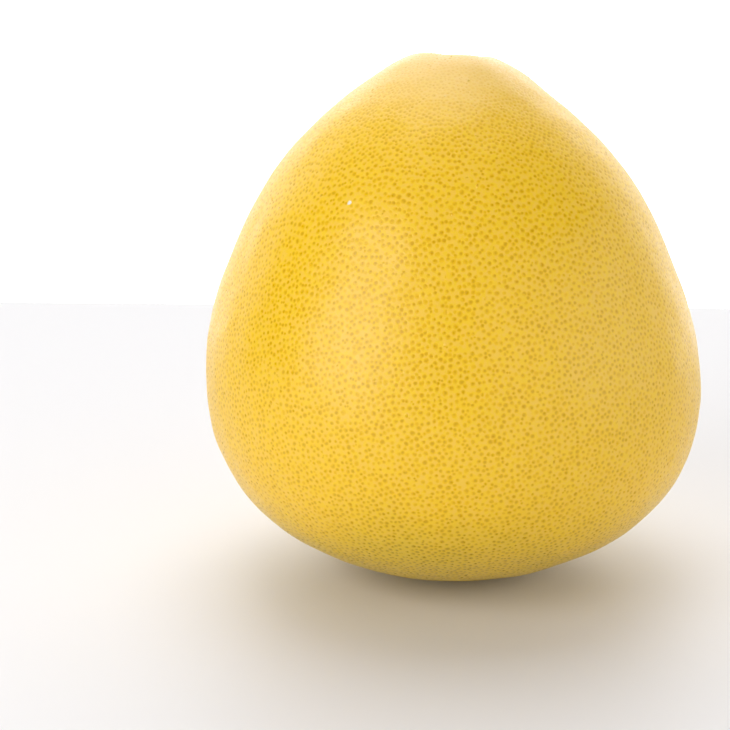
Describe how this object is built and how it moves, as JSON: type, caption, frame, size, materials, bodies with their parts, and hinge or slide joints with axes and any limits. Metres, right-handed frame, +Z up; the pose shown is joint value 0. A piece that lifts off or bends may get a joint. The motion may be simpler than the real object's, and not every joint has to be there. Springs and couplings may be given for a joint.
{
  "type": "pomelo",
  "caption": "Whole ripe pomelo: a broad, heavy citrus fruit that narrows to a leaning neck and rests upright on its flattened blossom end.",
  "frame": {"origin": "on the surface that the fruit rests on, under the middle of the fruit", "axes": "+Z up towards the neck, -Y towards the viewer of the picture, +X to that viewer's right"},
  "size_m": [0.1618, 0.16, 0.1714],
  "materials": {
    "rind": "satin",
    "dry_calyx": "matte"
  },
  "bodies": {
    "root": {"fruit": "rind", "stem_button": "dry_calyx"}
  },
  "joints": []
}
